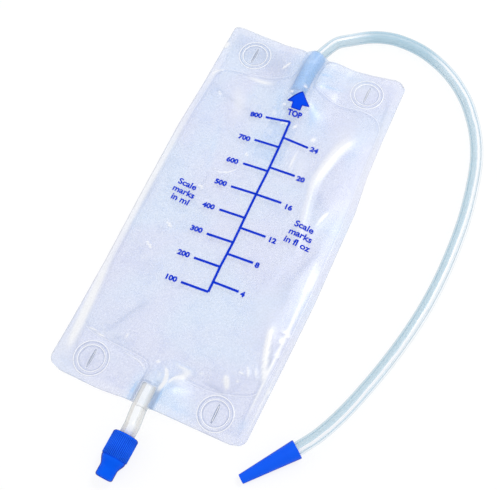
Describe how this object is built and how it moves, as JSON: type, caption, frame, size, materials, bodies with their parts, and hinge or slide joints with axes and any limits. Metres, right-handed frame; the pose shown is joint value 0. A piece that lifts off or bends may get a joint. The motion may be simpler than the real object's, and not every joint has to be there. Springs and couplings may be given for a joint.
{
  "type": "urine drainage bag",
  "caption": "Clear film urine leg bag lying flat, with strap buttonholes, anti-reflux sleeve, long inlet tube with tapered catheter connector, and a twist drain valve.",
  "frame": {"origin": "on the surface that the bag lies on, under the middle of the bag and its drain valve, leaving out the free inlet tube and its connector", "axes": "+X across the bag towards the side that the tube loops round, +Y up the bag towards its inlet, +Z out of the printed front film"},
  "size_m": [0.2164, 0.3743, 0.0168],
  "materials": {
    "clear_film": "thin clear vinyl film with a lavender tint, soft gloss, welded edges",
    "blue_port": "translucent light blue vinyl",
    "blue_film": "thin translucent light blue film",
    "clear_tube": "clear vinyl tubing with a faint teal tint, glossy",
    "blue_plastic": "moulded blue plastic, semi-gloss",
    "cream_tube": "milky soft vinyl tubing",
    "white_plastic": "moulded natural white plastic",
    "grey_rubber": "soft dark grey seal rubber",
    "blue_cap": "moulded blue plastic, semi-gloss, fluted grip"
  },
  "bodies": {
    "bag": {"back_film": "clear_film", "front_film": "clear_film", "inlet_port": "blue_port", "reflux_leaf_back": "blue_film", "reflux_leaf_front": "blue_film", "inlet_tube": "clear_tube", "catheter_connector": "blue_plastic", "outlet_tube": "cream_tube", "valve_stem": "white_plastic", "stem_o_ring": "grey_rubber"},
    "cap_seal": {"cap_washer": "grey_rubber"},
    "cap": {"twist_cap": "blue_cap"}
  },
  "joints": [
    {"name": "cap_travel", "type": "slide", "parent": "bag", "child": "cap_seal", "axis": [-0.0349, -0.9994, 0], "range_m": [0, 0.003]},
    {"name": "cap_twist", "type": "hinge", "parent": "cap_seal", "child": "cap", "pos_m": [0.0016, -0.13956, 0.0084], "axis": [-0.0349, -0.9994, 0], "range_deg": [0, 120]}
  ],
  "couplings": [
    {"joint": "cap_travel", "follows": "cap_twist", "m_per_rad": 0.0014324}
  ]
}
